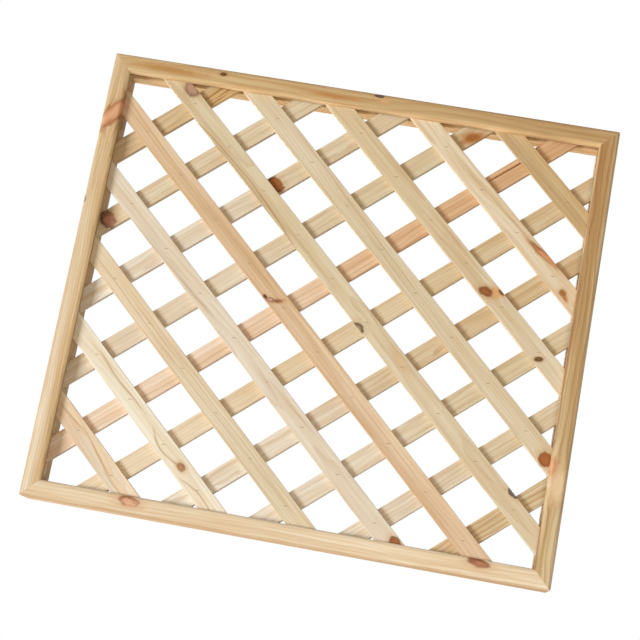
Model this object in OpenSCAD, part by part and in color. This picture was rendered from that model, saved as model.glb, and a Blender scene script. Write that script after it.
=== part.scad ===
// Framed diagonal lattice panel for climbing plants: four grooved frame members mitred
// at the corners, two layers of crossing slats held in the groove, a staple through each
// crossing and staples across the back of each mitre.
// X is the width, Y the depth with the front towards -Y, Z is up. The panel stands on Z = 0.

/* [Panel] */
// Width over the frame
panel_w = 900; // [600:10:1500]
// Height over the frame
panel_h = 800; // [600:10:1500]

/* [Frame members] */
// Width of the face of a frame member
frame_w = 32; // [28:1:50]
// Depth of a frame member from front to back
frame_d = 60; // [50:1:90]
// Radius of the two front edges of a frame member
front_r = 7; // [2:0.5:10]
// Radius of the two back edges of a frame member
back_r = 2.5; // [1:0.5:4]
// Radius of the panel's four outer corners, seen from the front
corner_r = 5; // [2:0.5:10]

/* [Groove] */
// Wood in front of the groove
front_lip = 12; // [9:0.5:18]
// Wood left between the groove's bottom and the member's outer side
groove_web = 18; // [12:0.5:22]
// Slack of the two slats across the groove
groove_clear = 0.4; // [0.2:0.1:1]
// Gap from a slat's end to the bottom of the groove
end_clear = 1.5; // [0.5:0.5:4]

/* [Slats] */
// Width of a slat
slat_w = 35; // [20:1:45]
// Thickness of a slat
slat_t = 8.5; // [6:0.5:11]
// Radius of the long edges of a slat
slat_edge_r = 1; // [0.4:0.1:2]
// Number of slats in the front layer
front_count = 10; // [6:1:12]
// Number of slats in the back layer
back_count = 10; // [6:1:12]
// Distance from an outermost front slat's middle line to the groove's corner
front_corner = 123.6; // [80:0.1:160]
// Distance from an outermost back slat's middle line to the groove's corner
back_corner = 126.7; // [80:0.1:160]
// Fall of the front slats to the right, in degrees
front_angle = 42.6; // [35:0.1:55]
// Rise of the back slats to the right, in degrees
back_angle = 41.4; // [35:0.1:55]
// Shift of the whole front layer to the upper right
front_shift = -3; // [-20:0.5:20]
// Shift of the whole back layer to the lower right
back_shift = 5.5; // [-20:0.5:20]
// Largest distance that a hand-laid slat sits off its even place
wander = 2.6; // [0:0.1:5]
// Number of slats over which the wander comes round again
wander_period = 6.4; // [3:0.1:12]
// Place in the row, counted from 0, where the wander starts
wander_start = 1.5; // [0:0.1:6]

/* [Crossing staples] */
// Width of a crossing staple over its legs
staple_crown = 6; // [5:0.5:12]
// Thickness of the staple wire, along the crown's plane
staple_wire_t = 0.8; // [0.6:0.1:1.2]
// Width of the staple wire
staple_wire_w = 1.2; // [0.8:0.1:1.6]
// Depth of the crown below the face of the front slat
staple_sink = 0.4; // [0.2:0.1:1]
// Wood left behind the points of a crossing staple
staple_cover = 3.5; // [2:0.5:4]
// Least distance from a staple's middle to the frame's inner edge
staple_edge = 12; // [10:1:30]

/* [Mitre staples] */
// Width of a mitre staple over its legs
mitre_crown = 16; // [12:0.5:18]
// Length of a mitre staple's legs
mitre_leg = 16; // [10:0.5:18]
// Thickness of the mitre staple's wire
mitre_wire_t = 1.2; // [0.9:0.1:1.5]
// Width of the mitre staple's wire
mitre_wire_w = 1.6; // [1.2:0.1:2]
// Depth of the crown below the back face
mitre_sink = 0.4; // [0.2:0.1:1]
// Number of staples across each mitre
mitre_count = 2; // [1:1:2]

/* [Hidden] */
$fn = 64;
pine_cream = [0.89, 0.79, 0.63];
pine_tan = [0.80, 0.67, 0.46];
pine_pink = [0.86, 0.69, 0.51];
pine_gold = [0.82, 0.66, 0.40];
zinc = [0.52, 0.51, 0.49];

// Places in the rows, counted from 0, of the slats from redder and more golden boards
pink_place = 4;
gold_place = 9;

// How far a cutter runs past the face that it cuts
cut_over = 1;

groove_w = 2 * slat_t + groove_clear;
groove_depth = frame_w - groove_web;
front_y = -frame_d / 2;
back_y = frame_d / 2;
groove_y = front_y + front_lip;
// Plane where the two layers of slats touch
seam_y = groove_y + groove_clear / 2 + slat_t;
slat_face_y = seam_y - slat_t;
mid_z = panel_h / 2;

opening_w = panel_w - 2 * frame_w;
opening_h = panel_h - 2 * frame_w;
// Distances between the bottoms of facing grooves
field_w = panel_w - 2 * groove_web;
field_h = panel_h - 2 * groove_web;
slat_length = norm([panel_w, panel_h]);
staple_leg = 2 * slat_t - staple_sink - staple_cover;

// Direction in X and Z in which the slats of a layer are counted, square to them
front_across = [sin(front_angle), cos(front_angle)];
back_across = [sin(back_angle), -cos(back_angle)];

// Distance from the panel's middle to the groove's corner along a direction
function corner_reach(across) = (abs(across[0]) * field_w + abs(across[1]) * field_h) / 2;

// Distance between neighbouring slats of a layer
front_pitch = 2 * (corner_reach(front_across) - front_corner) / (front_count - 1);
back_pitch = 2 * (corner_reach(back_across) - back_corner) / (back_count - 1);

// Distance of slat i from the panel's middle, across its layer
function slat_off(i, count, pitch, shift) =
    (i - (count - 1) / 2) * pitch + shift + wander * sin(360 * (i - wander_start) / wander_period);

function front_off(i) = slat_off(i, front_count, front_pitch, front_shift);

function back_off(j) = slat_off(j, back_count, back_pitch, back_shift);

// Where front slat i crosses back slat j, in X and Z from the panel's middle
function crossing(i, j) =
    [
        front_off(i) * cos(back_angle) + back_off(j) * cos(front_angle),
        front_off(i) * sin(back_angle) - back_off(j) * sin(front_angle)
    ] / sin(front_angle + back_angle);

function in_opening(p) =
    abs(p[0]) < opening_w / 2 - staple_edge && abs(p[1]) < opening_h / 2 - staple_edge;

crossings = [
    for (i = [0:front_count - 1], j = [0:back_count - 1])
        if (in_opening(crossing(i, j))) [i, j, crossing(i, j)]
];

function two_digits(n) = n < 10 ? str("0", n) : str(n);

front_names = [for (i = [1:front_count]) str("front_slat_", two_digits(i))];
back_names = [for (j = [1:back_count]) str("back_slat_", two_digits(j))];

// Cross-section of a frame member: depth along X, inset from the outer face along Y
module frame_section() {
    difference() {
        union() {
            translate([front_y + front_r, 0]) square([frame_d - front_r - back_r, frame_w]);
            translate([front_y, front_r]) square([frame_d, frame_w - 2 * front_r]);
            translate([back_y - 2 * back_r, back_r]) square([2 * back_r, frame_w - 2 * back_r]);
            for (inset = [front_r, frame_w - front_r])
                translate([front_y + front_r, inset]) circle(front_r);
            for (inset = [back_r, frame_w - back_r])
                translate([back_y - back_r, inset]) circle(back_r);
        }
        translate([groove_y, frame_w - groove_depth]) square([groove_w, groove_depth + cut_over]);
    }
}

// Outline of a member from the front, outer edge on Y = 0: mitred ends, rounded corners
module member_outline(length) {
    difference() {
        polygon([
            [-length / 2, 0],
            [length / 2, 0],
            [length / 2 - frame_w, frame_w],
            [frame_w - length / 2, frame_w]
        ]);
        for (side = [0, 1]) mirror([side, 0]) translate([length / 2 - corner_r, corner_r]) corner_waste();
    }
}

// What is sanded off an outer corner, with the middle of its round at the origin
module corner_waste() {
    difference() {
        translate([0, -corner_r - cut_over]) square(corner_r + cut_over);
        circle(corner_r);
    }
}

// Frame member that lies along X with its outer face on Z = 0
module frame_member(length) {
    intersection() {
        rotate([90, 0, 90]) linear_extrude(length, center = true) frame_section();
        rotate([90, 0, 0]) linear_extrude(frame_d, center = true) member_outline(length);
    }
}

module bottom_rail() {
    color(pine_cream) difference() {
        frame_member(panel_w);
        mitre_staple_set(mitre_sink + cut_over);
    }
}

module top_rail() {
    color(pine_tan) difference() {
        translate([0, 0, panel_h]) mirror([0, 0, 1]) frame_member(panel_w);
        mitre_staple_set(mitre_sink + cut_over);
    }
}

module left_stile() {
    color(pine_cream) difference() {
        translate([-panel_w / 2, 0, mid_z]) rotate([0, 90, 0]) frame_member(panel_h);
        mitre_staple_set(mitre_sink + cut_over);
    }
}

module right_stile() {
    color(pine_tan) difference() {
        translate([panel_w / 2, 0, mid_z]) rotate([0, -90, 0]) frame_member(panel_h);
        mitre_staple_set(mitre_sink + cut_over);
    }
}

// Slat along X with eased long edges: width along Z, thickness along Y
module slat_bar() {
    rotate([90, 0, 90]) linear_extrude(slat_length, center = true) union() {
        square([slat_t, slat_w - 2 * slat_edge_r], center = true);
        square([slat_t - 2 * slat_edge_r, slat_w], center = true);
        for (y = [-1, 1], z = [-1, 1])
            translate([y * (slat_t / 2 - slat_edge_r), z * (slat_w / 2 - slat_edge_r)]) circle(slat_edge_r);
    }
}

// Slat turned about the panel's middle, moved across its layer and cut off inside the groove
module laid_slat(turn, across, off, layer_y) {
    intersection() {
        translate([across[0] * off, layer_y, mid_z + across[1] * off]) rotate([0, turn, 0]) slat_bar();
        translate([0, 0, mid_z])
            cube([field_w - 2 * end_clear, frame_d, field_h - 2 * end_clear], center = true);
    }
}

module front_slat(i) {
    color(i == pink_place ? pine_pink : pine_cream) difference() {
        laid_slat(front_angle, front_across, front_off(i), seam_y - slat_t / 2);
        for (c = crossings) if (c[0] == i) crossing_staple(c[2], staple_sink + cut_over);
    }
}

module back_slat(j) {
    color(j == pink_place ? pine_pink : j == gold_place ? pine_gold : pine_cream) difference() {
        laid_slat(-back_angle, back_across, back_off(j), seam_y + slat_t / 2);
        for (c = crossings) if (c[1] == j) crossing_staple(c[2], staple_sink + cut_over);
    }
}

// Flat-wire staple driven along +Y, its crown on Y = 0. As a cutter it is open above the crown
module staple(crown, leg, wire_t, wire_w, open_above) {
    linear_extrude(wire_w, center = true) difference() {
        translate([-crown / 2, -open_above]) square([crown, leg + open_above]);
        translate([wire_t - crown / 2, wire_t]) square([crown - 2 * wire_t, leg]);
    }
}

module crossing_staple(p, open_above) {
    translate([p[0], slat_face_y + staple_sink, mid_z + p[1]])
        staple(staple_crown, staple_leg, staple_wire_t, staple_wire_w, open_above);
}

module crossing_staples() {
    color(zinc) for (c = crossings) crossing_staple(c[2], 0);
}

// Staples across the back of each mitre, evenly spread along it
module mitre_staple_set(open_above) {
    for (side = [-1, 1], end = [-1, 1], k = [1:mitre_count]) {
        inset = k * frame_w / (mitre_count + 1);
        translate([side * (panel_w / 2 - inset), back_y - mitre_sink, mid_z + end * (panel_h / 2 - inset)])
            rotate([0, 45 * side * end, 0]) mirror([0, 1, 0])
                staple(mitre_crown, mitre_leg, mitre_wire_t, mitre_wire_w, open_above);
    }
}

module mitre_staples() {
    color(zinc) mitre_staple_set(0);
}

bottom_rail();
top_rail();
left_stile();
right_stile();
for (i = [0:front_count - 1]) front_slat(i);
for (j = [0:back_count - 1]) back_slat(j);
crossing_staples();
mitre_staples();
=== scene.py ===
import math

import bpy
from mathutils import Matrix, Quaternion, Vector

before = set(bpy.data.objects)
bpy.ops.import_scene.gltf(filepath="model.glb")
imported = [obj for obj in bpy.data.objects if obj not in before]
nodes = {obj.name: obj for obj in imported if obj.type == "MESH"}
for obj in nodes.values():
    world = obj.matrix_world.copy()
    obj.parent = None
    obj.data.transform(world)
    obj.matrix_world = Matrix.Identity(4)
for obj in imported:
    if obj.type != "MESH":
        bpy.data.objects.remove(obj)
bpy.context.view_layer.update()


# Bottom rail. The lower member of the frame: planed pine stock with a rounded front, a groove
# for the slats in its upper side and a mitre at each end. It is pale, partly from sapwood and
# partly as painted light, since more light falls low on the panel, and it shows two reddish
# branch knots on its face.
class Grain:
    """One value of a wood or metal finish. Arithmetic on it adds Math nodes; make() adds any other node."""

    def __init__(self, tree, socket=None):
        self.tree = tree
        self.socket = socket

    def make(self, kind, settings=None, sockets=None, out=0):
        """A new node with these settings and inputs, given as one of its outputs."""
        node = self.tree.nodes.new("ShaderNode" + kind)
        for name, value in (settings or {}).items():
            setattr(node, name, value)
        for name, value in (sockets or {}).items():
            if isinstance(value, Grain):
                self.tree.links.new(value.socket, node.inputs[name])
            else:
                node.inputs[name].default_value = value
        return Grain(self.tree, node.outputs[out])

    def math(self, operation, *terms):
        return self.make("Math", {"operation": operation}, dict(enumerate(terms or (self,))))

    def __add__(self, other):
        return self.math("ADD", self, other)

    def __radd__(self, other):
        return self.math("ADD", other, self)

    def __sub__(self, other):
        return self.math("SUBTRACT", self, other)

    def __rsub__(self, other):
        return self.math("SUBTRACT", other, self)

    def __mul__(self, other):
        return self.math("MULTIPLY", self, other)

    def __truediv__(self, other):
        return self.math("DIVIDE", self, other)

    def __pow__(self, other):
        return self.math("POWER", self, other)

    def ease(self, low, high):
        """0 below low, 1 above high and smooth between; low may be the larger one."""
        if low > high:
            return 1 - self.ease(high, low)
        return self.make("MapRange", {"interpolation_type": "SMOOTHSTEP"},
                         {"Value": self, "From Min": low, "From Max": high})

    def blend(self, first, second, how="MIX"):
        """Two colours mixed by this value. The Mix node's colour sockets go by their numbers."""
        return self.make("Mix", {"data_type": "RGBA", "blend_type": how},
                         {0: self, 6: first, 7: second}, out=2)

    def feed(self, shader, name):
        self.tree.links.new(self.socket, shader.inputs[name])


def tint(red, green, blue):
    """A colour as a paint card gives it, 0 to 255, in the linear form that a shader takes."""
    def linear(level):
        level = level / 255
        return level / 12.92 if level <= 0.04045 else ((level + 0.055) / 1.055) ** 2.4
    return (linear(red), linear(green), linear(blue), 1.0)


def finish_on(piece, name):
    """A new finish in every slot of a piece: its shader, and the place of each point on the piece."""
    finish = bpy.data.materials.new(name)
    finish.use_nodes = True
    for slot in nodes[piece].material_slots:
        slot.material = finish
    tree = finish.node_tree
    return tree.nodes["Principled BSDF"], Grain(tree).make("TexCoord", out="Object")


def knot(at, off, half_length, half_width, core, rim, turn=0, halo=0.4, soft=0.16, lop=(0, 0)):
    """A knot or stain on a board: place along and across, size, colours and turn in degrees.

    halo: how dark the wood round it is. soft: how soft its border is. lop: how far the rim's colour
    reaches in from one end and from one side.
    """
    return at, off, half_length, half_width, tint(*core), tint(*rim), math.radians(turn), halo, soft, lop


def pine(piece, middle, along, across, ends, tones, pith, ring_gap, rings, figure, streak, seed,
         lean=0, wave=8, edges=(), lines=(), dull_side_and_shade=None, knots=(), deep=None):
    """Planed pine on one board. Distances are in millimetres from the board's middle.

    middle, along and across: the board's middle in metres, and its two directions.
    ends: where the board starts and stops. tones: its colour near those two ends.
    pith: where the middle of the tree lies, across the board and through it.
    ring_gap: the distance between ring lines. seed: gives the board a figure of its own.
    rings and streak: how strong the ring lines and the broad stripes are.
    figure and wave: how far the ring lines swing, over long and short stretches. lean: their slope.
    edges: paler or darker sides of the board, some of them painted light or shade: where one
    begins, where it is full, its colour.
    lines: single dark lines: place across, start, stop, bow of the ends, half width, strength.
    arris: a darker side of the board, partly duller wood and partly painted shade where that side
    faces away from the light: where it begins, where it is full, and the share of the colour that
    it keeps. deep: where knots end behind the face, None if they go through.
    """
    shader, spot = finish_on(piece, piece + "_pine")
    # From the board's face to its back
    through = Vector(along).cross(Vector(across))
    if through.y < 0:
        through = -through

    def distance(direction):
        """Millimetres from the board's middle in one direction."""
        rule = [1000 * part for part in direction]
        place = spot.make("VectorMath", {"operation": "DOT_PRODUCT"}, {0: spot, 1: rule}, out="Value")
        return place - sum(part * start for part, start in zip(rule, middle))

    def cloud(length, width, shift, detail=2.0):
        """Noise drawn out along the board: length and width are the size of its patches."""
        place = spot.make("CombineXYZ", sockets={0: run / length + seed + shift, 1: side / width,
                                                 2: depth / width})
        return spot.make("TexNoise", {"noise_dimensions": "3D"},
                         {"Vector": place, "Scale": 1.0, "Detail": detail, "Roughness": 0.55})

    def sway(length, shift):
        """A slow swing along the board, from -0.5 to 0.5."""
        return spot.make("TexNoise", {"noise_dimensions": "1D"},
                         {"W": run / length + seed + shift, "Scale": 1.0, "Detail": 1.0}) - 0.5

    run = distance(along)
    side = distance(across)
    depth = distance(through)
    ripple = cloud(70, 12, 3.1) - 0.5
    ragged = cloud(14, 9, 9.4) - 0.5
    blotch = cloud(9, 6, 13.7)

    # The grain lines part around each knot; away is 0 in its middle and 1 at its border
    flow = side - run * lean + (cloud(130, 21, 8.3) - 0.5) * wave
    marks = []
    for at, off, half_length, half_width, core, rim, turn, halo, soft, lop in knots:
        ahead = run - at
        beside = side - off
        lengthwise = (ahead * math.cos(turn) + beside * math.sin(turn)) / half_length
        crosswise = (beside * math.cos(turn) - ahead * math.sin(turn)) / half_width
        round_it = (lengthwise * lengthwise + crosswise * crosswise) ** 0.5
        away = round_it + ripple * 0.4 + ragged * 0.9
        flow = flow - beside * (away * away * -0.35).math("EXPONENT") * 0.6
        marks.append((away, lengthwise * lop[0] + crosswise * lop[1], core, rim, halo, soft))

    # Growth rings round the pith, pale spring wood running into a darker autumn line
    sideways = flow - pith[0] + sway(240, 11.7) * figure
    inwards = depth - pith[1] + sway(410, 5.3) * figure * 1.6
    ring = (sideways * sideways + inwards * inwards) ** 0.5
    age = ring / ring_gap + ripple * 0.8 + (ring / (ring_gap * 2.7)).math("SINE") * 0.35
    autumn = age.math("FRACT") ** 2.2
    fibre = cloud(95, 1.3, 7.9, 3.0)

    # Shares of the board's colour that its darker parts keep
    patch_keeps = (0.94, 0.87, 0.78, 1)
    stripe_keeps = (0.80, 0.68, 0.52, 1)
    ring_keeps = (0.66, 0.48, 0.30, 1)
    fibre_keeps = (0.80, 0.70, 0.58, 1)
    line_keeps = (0.56, 0.38, 0.22, 1)
    halo_keeps = (0.82, 0.60, 0.40, 1)
    line_fade = 20
    knot_fade = 8

    # The board's tone runs from one end to the other. Across the panel the tones given grow darker towards
    # its upper right, partly the wood and partly painted shade where less light falls.
    sixth = (ends[1] - ends[0]) / 6
    colour = run.ease(ends[0] + sixth, ends[1] - sixth).blend(tint(*tones[0]), tint(*tones[1]))
    for begin, full, shade in edges:
        colour = (flow + ripple * 4).ease(begin, full).blend(colour, tint(*shade))
    colour = (cloud(150, 20, 6.1).ease(0.42, 0.68) * 0.7).blend(colour, patch_keeps, "MULTIPLY")
    colour = (cloud(300, 9, 1.3).ease(0.40, 0.68) * streak).blend(colour, stripe_keeps, "MULTIPLY")
    colour = (autumn * rings).blend(colour, ring_keeps, "MULTIPLY")
    colour = (fibre.ease(0.50, 0.78) * 0.30).blend(colour, fibre_keeps, "MULTIPLY")
    for off, begin, end, bow, half_width, strength in lines:
        reach = (run - (begin + end) / 2) / ((end - begin) / 2)
        aside = (flow - off - reach * reach * bow) / half_width
        started = run.ease(begin - line_fade, begin + line_fade)
        stopped = run.ease(end + line_fade, end - line_fade)
        shown = started * stopped * (ripple + 0.8)
        trace = (aside * aside * -1.0).math("EXPONENT") * shown * strength
        colour = trace.blend(colour, line_keeps, "MULTIPLY")
    if dull_side_and_shade:
        colour = side.ease(dull_side_and_shade[0], dull_side_and_shade[1]).blend(colour, (*dull_side_and_shade[2], 1), "MULTIPLY")
    knotty = 0
    for away, tilt, core, rim, halo, soft in marks:
        shown = 1 if deep is None else depth.ease(deep, deep - knot_fade)
        glow = away.ease(2.3, 0.9) * halo * shown
        colour = glow.blend(colour, halo_keeps, "MULTIPLY")
        year = (away * 15.0).math("SINE") * 0.12
        rimmed = away.ease(0.3, 1.0) * (blotch * 1.8) + year + tilt
        inside = away.ease(1 + soft, 1 - soft) * shown
        colour = inside.blend(colour, rimmed.blend(core, rim))
        knotty = inside + knotty
    colour.feed(shader, "Base Color")

    roughness = 0.66 - autumn * 0.12 + (fibre - 0.5) * 0.24 - knotty * 0.12
    roughness.feed(shader, "Roughness")
    height = fibre * 0.6 + autumn * 0.4 - knotty * 0.3
    relief = spot.make("Bump", sockets={"Strength": 0.35, "Distance": 0.0005, "Height": height}, out="Normal")
    relief.feed(shader, "Normal")
    shader.inputs["Specular IOR Level"].default_value = 0.3


panel_width, panel_height, face_width = 0.900, 0.800, 0.032
rightwards = (1, 0, 0)
upwards = (0, 0, 1)
rail_ends = (-500 * panel_width, 500 * panel_width)
frame_knot_depth = -8
pine("bottom_rail", (0, 0, face_width / 2), rightwards, upwards, rail_ends,
     tones=((230, 210, 180), (242, 226, 200)), pith=(-46, -12), ring_gap=5.2, rings=0.34, figure=12,
     streak=0.6, seed=1.0, deep=frame_knot_depth, edges=[(-10, -15, (212, 185, 148))],
     knots=[knot(-264, 6.5, 19, 9, (218, 168, 134), (146, 90, 56), turn=-8, soft=0.25, lop=(-0.3, 0.6)),
            knot(327, 9, 18.5, 7, (178, 122, 88), (130, 80, 52), turn=-6, soft=0.25, lop=(-0.2, 0.4))])


# Top rail. The same stock turned over, tan, paler along its lower edge and underside, with a dark
# pin knot and a sliver of bark on its upper front edge. The tan is partly heartwood and partly
# painted shade, as less light falls high on the panel; the pale lower edge and underside are
# partly sapwood and partly a painted highlight for the light that reaches them from below.
pine("top_rail", (0, 0, panel_height - face_width / 2), rightwards, upwards, rail_ends,
     tones=((212, 184, 138), (195, 162, 115)), pith=(-38, 30), ring_gap=6.0, rings=0.40, figure=14,
     streak=0.8, seed=4.0, deep=frame_knot_depth, edges=[(-8, -17, (244, 214, 168))],
     knots=[knot(-350, -1, 72, 6, (180, 134, 78), (190, 146, 92), soft=0.6, halo=0),
            knot(-48, -2, 44, 5, (184, 128, 76), (192, 144, 92), soft=0.6, halo=0),
            knot(36, 3, 12, 4, (212, 164, 112), (206, 160, 110), soft=0.6, halo=0),
            knot(-252, 6, 5.5, 3, (98, 68, 32), (84, 56, 26), halo=0.6),
            knot(27, 11, 10, 3, (98, 80, 72), (80, 62, 54), halo=0.2)])


# Left stile. The upright on the left, of the same stock and mitred to the rails. Its outer rounded
# edge is painted greyer, as painted shade that tones down the light on it, and its inner side is
# painted darker, partly duller wood and partly painted shade. A spike knot runs across its face
# near the top, salmon in the middle and brown at its edges.
stile_x = (panel_width - face_width) / 2
stile_ends = (-500 * panel_height, 500 * panel_height)
pine("left_stile", (-stile_x, 0, panel_height / 2), upwards, rightwards, stile_ends,
     tones=((236, 222, 198), (224, 202, 164)), pith=(-60, 20), ring_gap=3.4, rings=0.50, figure=12,
     streak=0.7, seed=7.0, deep=frame_knot_depth,
     edges=[(-10, 10, (210, 181, 138)), (-7, -13, (206, 182, 148)), (8, 14, (246, 222, 180))],
     dull_side_and_shade=(15.2, 15.9, (0.56, 0.52, 0.48)),
     knots=[knot(284, 0, 15, 44, (168, 110, 68), (158, 102, 62), turn=-50, halo=0.3, soft=0.25),
            knot(285, 0, 9.5, 42, (216, 162, 122), (200, 142, 100), turn=-50, halo=0, soft=0.4),
            knot(125, -14, 5, 2, (150, 120, 90), (130, 100, 72), halo=0.3)])


# Right stile. The upright on the right, golden brown with strong lines along it, and low down a
# pale stretch beside the edge of a reddish knot on its inner side. The golden brown is partly the
# wood and partly painted shade, as less light falls at the right of the panel. Its inner rounded
# edge is painted darker, as painted shade that tones down the light on it, and the inner side
# beyond is painted paler, as painted light where the slats shade it.
pine("right_stile", (stile_x, 0, panel_height / 2), upwards, rightwards, stile_ends,
     tones=((216, 196, 156), (194, 160, 112)), pith=(64, 14), ring_gap=6.5, rings=0.75, figure=12,
     streak=0.9, seed=9.0, deep=frame_knot_depth,
     edges=[(-9, -14, (167, 134, 95)), (-14.6, -15.8, (204, 172, 124)), (8, 14, (232, 214, 180))],
     knots=[knot(-224, 2, 38, 22, (226, 196, 156), (204, 170, 126), soft=0.5, halo=0),
            knot(-196, -15, 13, 9, (212, 158, 116), (194, 136, 92), soft=0.45)])


# Front slats. Thin planed boards that fall to the right, held in the frame's groove and stapled to
# the layer behind. Each was ripped from another board, so tone, lines and knots change from one to
# the next. Their tones also darken towards the upper right of the panel, partly as painted shade
# where less light falls.
front_fall = math.radians(42.6)
front_along = (math.cos(front_fall), 0, -math.sin(front_fall))
front_across = (math.sin(front_fall), 0, math.cos(front_fall))
front_middle_y = -0.01355
front_pitch = 100
front_shift = -3


def laid_off(place, pitch, shift):
    """How far a slat's middle line lies from the panel's middle, in metres."""
    middle_place = 4.5
    wander, wander_start, wander_span = 2.6, 1.5, 6.4
    strayed = wander * math.sin(2 * math.pi * (place - wander_start) / wander_span)
    return ((place - middle_place) * pitch + shift + strayed) / 1000


def cut_off(middle, along):
    """Where a slat's middle line meets the frame at its two ends, in millimetres from its middle."""
    half_open = (panel_width / 2 - face_width, panel_height / 2 - face_width)
    low, high = -1.0, 1.0
    for start, step, half in ((middle[0], along[0], half_open[0]),
                              (middle[2] - panel_height / 2, along[2], half_open[1])):
        near, far = sorted(((-half - start) / step, (half - start) / step))
        low, high = max(low, near), min(high, far)
    return 1000 * low, 1000 * high


# Tones of planed pine, from pale sapwood to heartwood, and then two pinkish ones. Darker tones
# towards the upper right of the panel are partly painted shade, where less light falls.
cream = (239, 230, 210)
oat = (228, 216, 197)
sand = (231, 214, 186)
flax = (223, 208, 180)
straw = (218, 202, 170)
wheat = (218, 198, 162)
ochre = (207, 183, 142)
blush = (226, 201, 172)
fawn = (219, 190, 154)
front_boards = [
    dict(tones=(blush, oat), pith=(4, -22), ring_gap=7.0, rings=0.25, figure=34, streak=0.3,
         wave=20, edges=[(6, 12, (238, 216, 188))],
         knots=[knot(-126, 9, 46, 5, (226, 203, 170), (220, 194, 160), turn=3, halo=0, soft=0.4),
                knot(-40, 8, 56, 5.5, (226, 203, 170), (220, 194, 160), turn=-8, halo=0, soft=0.4),
                knot(38, 0, 42, 5.5, (226, 203, 170), (220, 194, 160), turn=2, halo=0, soft=0.4),
                knot(-118, 4, 36, 1.6, (198, 162, 124), (206, 172, 134), turn=4, halo=0, soft=0.7),
                knot(-34, 2, 50, 1.6, (198, 162, 124), (206, 172, 134), turn=-9, halo=0, soft=0.7),
                knot(42, -6, 36, 1.4, (202, 168, 130), (208, 176, 138), turn=2, halo=0, soft=0.7)]),
    dict(tones=(cream, cream), pith=(-30, 26), ring_gap=5.0, rings=0.26, figure=14, streak=0.4, wave=14,
         lines=[(4, -170, -50, 3, 1.6, 0.7), (-9, -10, 62, 10, 1.8, 0.95), (-1, 84, 170, -9, 1.6, 0.8)],
         knots=[knot(67, 1, 8, 6, (178, 130, 90), (138, 96, 62), halo=0.5, soft=0.35, lop=(0, 0.3))]),
    dict(tones=(sand, flax), pith=(40, 18), ring_gap=4.6, rings=0.30, figure=10, streak=0.5,
         lean=0.012, lines=[(-4, -320, 240, 4, 1.7, 0.35), (6, -200, 200, -3, 1.5, 0.3)]),
    dict(tones=(oat, oat), pith=(-14, 30), ring_gap=5.4, rings=0.30, figure=12, streak=0.4,
         lean=0.05, lines=[(-2, -400, -120, 0, 1.8, 0.5), (3, 40, 330, 0, 1.5, 0.35)],
         knots=[knot(385, 7, 11, 9, (156, 98, 58), (126, 76, 44), soft=0.22)]),
    dict(tones=(fawn, blush), pith=(26, -20), ring_gap=5.6, rings=0.30, figure=12, streak=0.6,
         edges=[(3, 11, (228, 202, 170))], lines=[(4, -320, -100, 2, 1.4, 0.35), (-6, 100, 420, 3, 1.5, 0.3)],
         knots=[knot(-64, -1, 10, 3.5, (146, 96, 58), (168, 116, 76), turn=53, halo=0.3, soft=0.5),
                knot(-84, -13, 5, 3, (84, 56, 44), (96, 64, 50), halo=0.3, soft=0.35),
                knot(-74, -10, 7.5, 4.5, (206, 158, 142), (120, 80, 64), turn=40, halo=0.3, soft=0.25)]),
    dict(tones=(straw, flax), pith=(8, 34), ring_gap=6.0, rings=0.26, figure=18, streak=0.5,
         lines=[(-10, -440, -95, -11, 1.5, 0.75), (-16, -400, -130, -5, 1.4, 0.6), (8, 40, 260, 9, 1.5, 0.4)],
         knots=[knot(-466, 11, 15, 14, (178, 140, 114), (124, 94, 70), halo=0.35, soft=0.25, lop=(0.2, -0.2)),
                knot(58, -19, 12, 10, (162, 140, 108), (88, 72, 48), halo=0.35, lop=(-0.1, 0.2)),
                knot(148, 4, 24, 7, (214, 184, 144), (206, 172, 130), turn=-6, halo=0, soft=0.8),
                knot(438, 19, 12, 8, (120, 100, 88), (92, 74, 64), halo=0.3)]),
    dict(tones=(flax, flax), pith=(-52, 10), ring_gap=4.8, rings=0.32, figure=10, streak=0.45,
         lean=-0.035, lines=[(4, -300, 60, 0, 1.5, 0.4), (-4, -60, 380, 0, 1.6, 0.4)],
         knots=[knot(428, -4, 12.5, 12.5, (166, 98, 46), (124, 70, 28), halo=0.5, soft=0.22)]),
    dict(tones=(wheat, flax), pith=(16, -28), ring_gap=5.2, rings=0.30, figure=14, streak=0.5,
         lines=[(6, -240, 60, 4, 1.5, 0.3)],
         knots=[knot(152, 8, 11, 10, (220, 172, 122), (212, 164, 114), turn=40, halo=0.2, soft=0.7),
                knot(158, 15, 7, 3, (124, 84, 40), (140, 98, 52), halo=0.3, soft=0.35),
                knot(140, -5, 12, 8, (152, 94, 48), (116, 70, 32), turn=30, halo=0.5, soft=0.25),
                knot(287, -7, 8, 4.5, (112, 80, 38), (98, 70, 32), turn=53, halo=0.4, soft=0.25)]),
    dict(tones=(sand, sand), pith=(-20, -24), ring_gap=5.6, rings=0.32, figure=16, streak=0.55,
         wave=14, lines=[(4, -120, 110, 5, 1.6, 0.4)],
         knots=[knot(153, 12.5, 32, 5.5, (208, 146, 98), (142, 90, 50), turn=9, halo=0.45, soft=0.35,
                     lop=(-0.35, 0.3)),
                knot(232, -8, 8, 3, (190, 122, 86), (196, 140, 92), turn=-15, halo=0.2, soft=0.5),
                knot(222, -5, 7, 5.5, (156, 106, 50), (172, 120, 66), soft=0.35)]),
    dict(tones=(ochre, ochre), pith=(34, 16), ring_gap=6.0, rings=0.34, figure=12, streak=0.6,
         edges=[(2, 10, (212, 184, 138))]),
]
for place, board in enumerate(front_boards):
    off = laid_off(place, front_pitch, front_shift)
    middle = (front_across[0] * off, front_middle_y, panel_height / 2 + front_across[2] * off)
    pine("front_slat_%02d" % (place + 1), middle, front_along, front_across,
         ends=cut_off(middle, front_along), seed=20.0 + 3.7 * place, **board)


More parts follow.
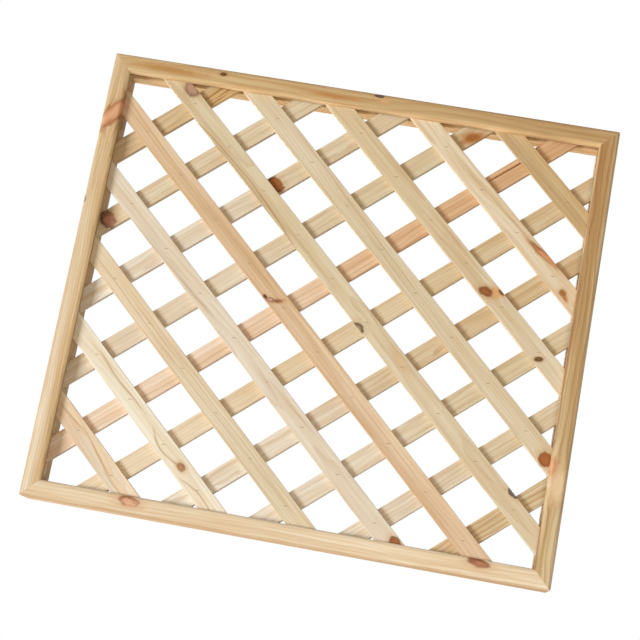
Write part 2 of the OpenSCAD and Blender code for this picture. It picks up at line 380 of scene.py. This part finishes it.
# Back slats. The layer behind, the same stock rising to the right, cut off inside the frame's
# groove. One is a salmon board with a streak of resin, the last is golden with dark lines.
back_rise = math.radians(41.4)
back_along = (math.cos(back_rise), 0, math.sin(back_rise))
back_across = (math.sin(back_rise), 0, -math.cos(back_rise))
back_middle_y = -0.00505
back_pitch = 99
back_shift = 5.5
# The lower edge of each back slat is darkened, partly as duller sawn wood and partly as painted shade on the
# side that faces away from the light.
sawn_edge_and_shade = (14.8, 17.2, (0.76, 0.74, 0.72))
# More tones of the same wood: two pale ones, a golden one and a salmon one
milk = (231, 221, 204)
shell = (240, 219, 198)
honey = (214, 190, 152)
peach = (221, 182, 142)
back_boards = [
    dict(tones=(honey, honey), pith=(20, 30), ring_gap=5.6, rings=0.40, figure=12, streak=0.6,
         knots=[knot(52, 6, 36, 20, (208, 172, 118), (196, 156, 100), halo=0, soft=0.8),
                knot(46, -2, 26, 1.8, (156, 114, 66), (168, 126, 78), turn=-4, halo=0, soft=0.7),
                knot(62, 6, 30, 1.6, (166, 124, 74), (176, 134, 84), turn=-3, halo=0, soft=0.7),
                knot(40, 12, 18, 1.6, (160, 118, 70), (170, 128, 80), turn=-3, halo=0, soft=0.7)]),
    # The knot on the second board reaches out to the board's lower edge; its dark rim there is partly the
    # knot and partly painted shade along that edge.
    dict(tones=(flax, flax), pith=(-36, 22), ring_gap=5.0, rings=0.34, figure=10, streak=0.5,
         knots=[knot(-238, -1, 13, 17, (178, 124, 94), (74, 46, 28), turn=-8, halo=0.5, soft=0.25,
                     lop=(-0.3, -0.45))]),
    dict(tones=(milk, flax), pith=(12, -24), ring_gap=5.4, rings=0.30, figure=14, streak=0.5,
         knots=[knot(45, -2, 11, 18, (158, 92, 40), (88, 52, 22), turn=-6, halo=0.5, soft=0.25,
                     lop=(-0.3, -0.25))]),
    dict(tones=(oat, straw), pith=(-24, 28), ring_gap=5.0, rings=0.30, figure=12, streak=0.5,
         knots=[knot(383, 8, 20, 9, (156, 96, 42), (172, 116, 60), turn=21, halo=0.7, soft=0.4)]),
    dict(tones=(shell, peach), pith=(30, 18), ring_gap=6.0, rings=0.36, figure=10, streak=0.6,
         lines=[(-8, 365, 450, 0, 1.8, 1.3), (-8, 365, 450, 0, 1.4, 1.2)]),
    dict(tones=(sand, wheat), pith=(-44, -14), ring_gap=4.8, rings=0.34, figure=11, streak=0.5),
    dict(tones=(milk, honey), pith=(10, 26), ring_gap=6.0, rings=0.45, figure=18, streak=0.6, wave=16),
    dict(tones=(milk, straw), pith=(-18, 24), ring_gap=5.2, rings=0.32, figure=14, streak=0.5),
    dict(tones=(milk, flax), pith=(38, -16), ring_gap=5.4, rings=0.40, figure=10, streak=0.5),
    dict(tones=(honey, straw), pith=(-50, -20), ring_gap=6.5, rings=0.90, figure=10, streak=0.8),
]
for place, board in enumerate(back_boards):
    off = laid_off(place, back_pitch, back_shift)
    middle = (back_across[0] * off, back_middle_y, panel_height / 2 + back_across[2] * off)
    pine("back_slat_%02d" % (place + 1), middle, back_along, back_across,
         ends=cut_off(middle, back_along), seed=70.0 + 4.3 * place, dull_side_and_shade=sawn_edge_and_shade, **board)


# Crossing staples. Narrow flat-wire staples, galvanised, shot into each crossing from the front and
# sunk just below the face of the front slat. Wood sap has browned the zinc.
def zinc_wire(piece, bright, dull):
    """Zinc-coated steel on one set of staples, with its bright and its dull colour."""
    shader, spot = finish_on(piece, piece + "_zinc")
    bloom = spot.make("TexNoise", sockets={"Vector": spot, "Scale": 900.0, "Detail": 3.0, "Roughness": 0.6})
    scuff = spot.make("TexNoise", sockets={"Vector": spot, "Scale": 4200.0, "Detail": 1.0})
    bloom.ease(0.35, 0.65).blend(bright, dull).feed(shader, "Base Color")
    (0.34 + bloom * 0.22 + scuff * 0.12).feed(shader, "Roughness")
    relief = spot.make("Bump", sockets={"Strength": 0.2, "Distance": 0.0001, "Height": scuff}, out="Normal")
    relief.feed(shader, "Normal")
    shader.inputs["Metallic"].default_value = 1.0


zinc_wire("crossing_staples", tint(182, 158, 128), tint(150, 126, 98))


# Mitre staples. Wider staples of heavier galvanised wire, two across the back of each mitred corner
# and sunk just below the back face. Their zinc is still grey.
zinc_wire("mitre_staples", tint(182, 180, 174), tint(138, 136, 132))


# Floor. A plain pale sheet that the panel stands on. It shows from above only, so that the low
# camera looks up through it, and it lets light through to the underside of the panel.
floor_height = -0.0008
bpy.ops.mesh.primitive_plane_add(size=6.0, location=(0, 0, floor_height))
floor = bpy.context.object
floor.name = "studio_floor"
sheet = bpy.data.materials.new("pale_floor")
sheet.use_nodes = True
sheet.node_tree.nodes.remove(sheet.node_tree.nodes["Principled BSDF"])
ray = Grain(sheet.node_tree)
seen = ray.make("LightPath", out="Is Camera Ray") + ray.make("LightPath", out="Is Glossy Ray")
topside = 1 - ray.make("NewGeometry", out="Backfacing")
mottle = ray.make("TexNoise", sockets={"Scale": 40.0, "Detail": 2.0})
paint = mottle.blend(tint(238, 239, 240), tint(244, 245, 246))
matt = ray.make("BsdfPrincipled", sockets={"Base Color": paint, "Roughness": 0.9,
                                           "Emission Color": (1, 1, 1, 1), "Emission Strength": 0.5})
clear = ray.make("BsdfTransparent")
mixed = ray.make("MixShader", sockets={0: seen * topside, 1: clear, 2: matt})
mixed.feed(sheet.node_tree.nodes["Material Output"], "Surface")
floor.data.materials.append(sheet)


# Light. A softbox far to the left gives the short shadows beside the slats, a weaker one in front
# fills them, one low behind lights the undersides and one at the rear the back. The room adds a
# faint warm glow, and is plain white where the camera or the staples' metal look into it.
scene = bpy.context.scene
room = bpy.data.worlds.new("white_room")
room.use_nodes = True
scene.world = room
air = Grain(room.node_tree)
looked_at = (air.make("LightPath", out="Is Camera Ray") + air.make("LightPath", out="Is Glossy Ray")
             + air.make("LightPath", out="Is Transmission Ray"))
wall = air.make("Background", sockets={"Color": (1, 1, 1, 1), "Strength": 1.0})
glow = air.make("Background", sockets={"Color": (1.0, 0.88, 0.70, 1), "Strength": 0.26})
backdrop = air.make("MixShader", sockets={0: looked_at, 1: glow, 2: wall})
backdrop.feed(room.node_tree.nodes["World Output"], "Surface")

panel_middle = Vector((0, 0, panel_height / 2))
for name, place, width, watts, hue in (
        ("side_softbox", (-7.31, -5.12, -0.70), 2.9, 850, (0.87, 0.935, 1.0)),
        ("front_softbox", (1.00, -3.25, -0.80), 2.2, 41, (1.0, 0.88, 0.72)),
        ("floor_bounce", (-0.90, 1.20, -1.60), 2.0, 40, (1.0, 0.93, 0.82)),
        ("rear_softbox", (-1.60, 3.60, 1.60), 2.0, 55, (1.0, 0.96, 0.90))):
    lamp = bpy.data.lights.new(name, "AREA")
    lamp.shape = "SQUARE"
    lamp.size = width
    lamp.energy = watts
    lamp.color = hue
    softbox = bpy.data.objects.new(name, lamp)
    scene.collection.objects.link(softbox)
    softbox.location = place
    softbox.visible_camera = False
    softbox.rotation_mode = "QUATERNION"
    softbox.rotation_quaternion = (panel_middle - softbox.location).to_track_quat("-Z", "Y")


# Camera. Low and to the right of the panel, looking up at it, and turned about its own axis so
# that the panel leans to the right in the picture.
aim = Vector((-0.0036, -0.03, 0.3820))
roll = math.radians(10.632)
lens = bpy.data.cameras.new("camera")
lens.sensor_width = 36
lens.lens = 90
camera = bpy.data.objects.new("camera", lens)
scene.collection.objects.link(camera)
camera.location = (0.2262, -2.6925, -0.1602)
camera.rotation_mode = "QUATERNION"
look = (aim - camera.location).to_track_quat("-Z", "Y")
camera.rotation_quaternion = look @ Quaternion((0, 0, 1), roll)
scene.camera = camera
scene.view_settings.view_transform = "Standard"
